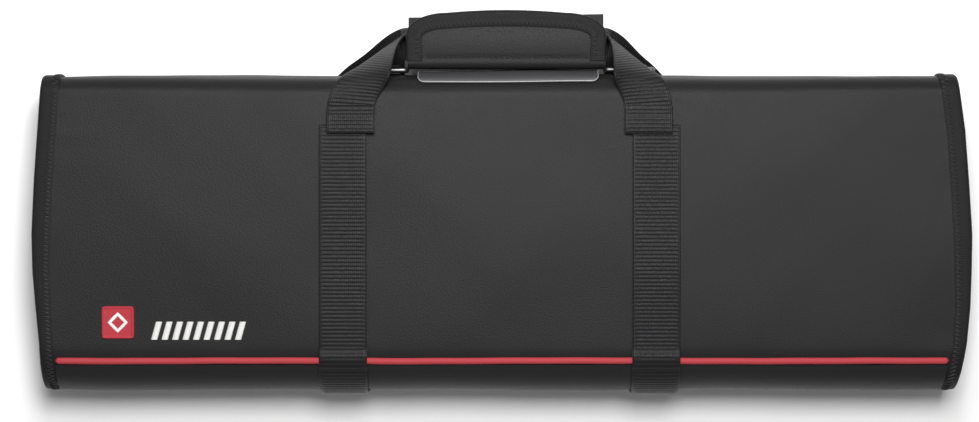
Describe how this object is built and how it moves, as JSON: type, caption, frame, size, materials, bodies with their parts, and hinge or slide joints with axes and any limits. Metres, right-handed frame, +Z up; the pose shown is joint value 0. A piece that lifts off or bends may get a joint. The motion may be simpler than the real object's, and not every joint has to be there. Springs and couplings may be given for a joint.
{
  "type": "chef knife roll",
  "caption": "Closed chef's knife roll lying flat: a padded black sheet folded in three, with webbing straps, a padded carry grip, red piping, end bindings and D-rings.",
  "frame": {"origin": "middle of the bounding box, on the surface that the roll lies on", "axes": "+X along the roll to the picture's right, +Y from the hem side to the carry grip, +Z up out of the front face"},
  "size_m": [0.4986, 0.206, 0.0622],
  "materials": {
    "canvas": "matt black coated polyester canvas",
    "tape": "black woven binding tape",
    "webbing": "black ribbed polypropylene webbing",
    "piping": "red covered cord",
    "vinyl": "clear flexible vinyl over black cloth",
    "steel": "dull nickel-plated wire",
    "badge": "red woven patch"
  },
  "bodies": {
    "root": {"cover_panel": "canvas", "hem_band": "tape", "hem_piping": "piping", "binding_left": "tape", "binding_right": "tape", "strap_left": "webbing", "strap_right": "webbing", "handle_loop": "webbing", "grip_wrap": "canvas", "grip_binding": "tape", "id_window": "vinyl", "ring_left": "steel", "ring_right": "steel", "ring_tab_left": "webbing", "ring_tab_right": "webbing", "badge_patch": "badge"}
  },
  "joints": []
}
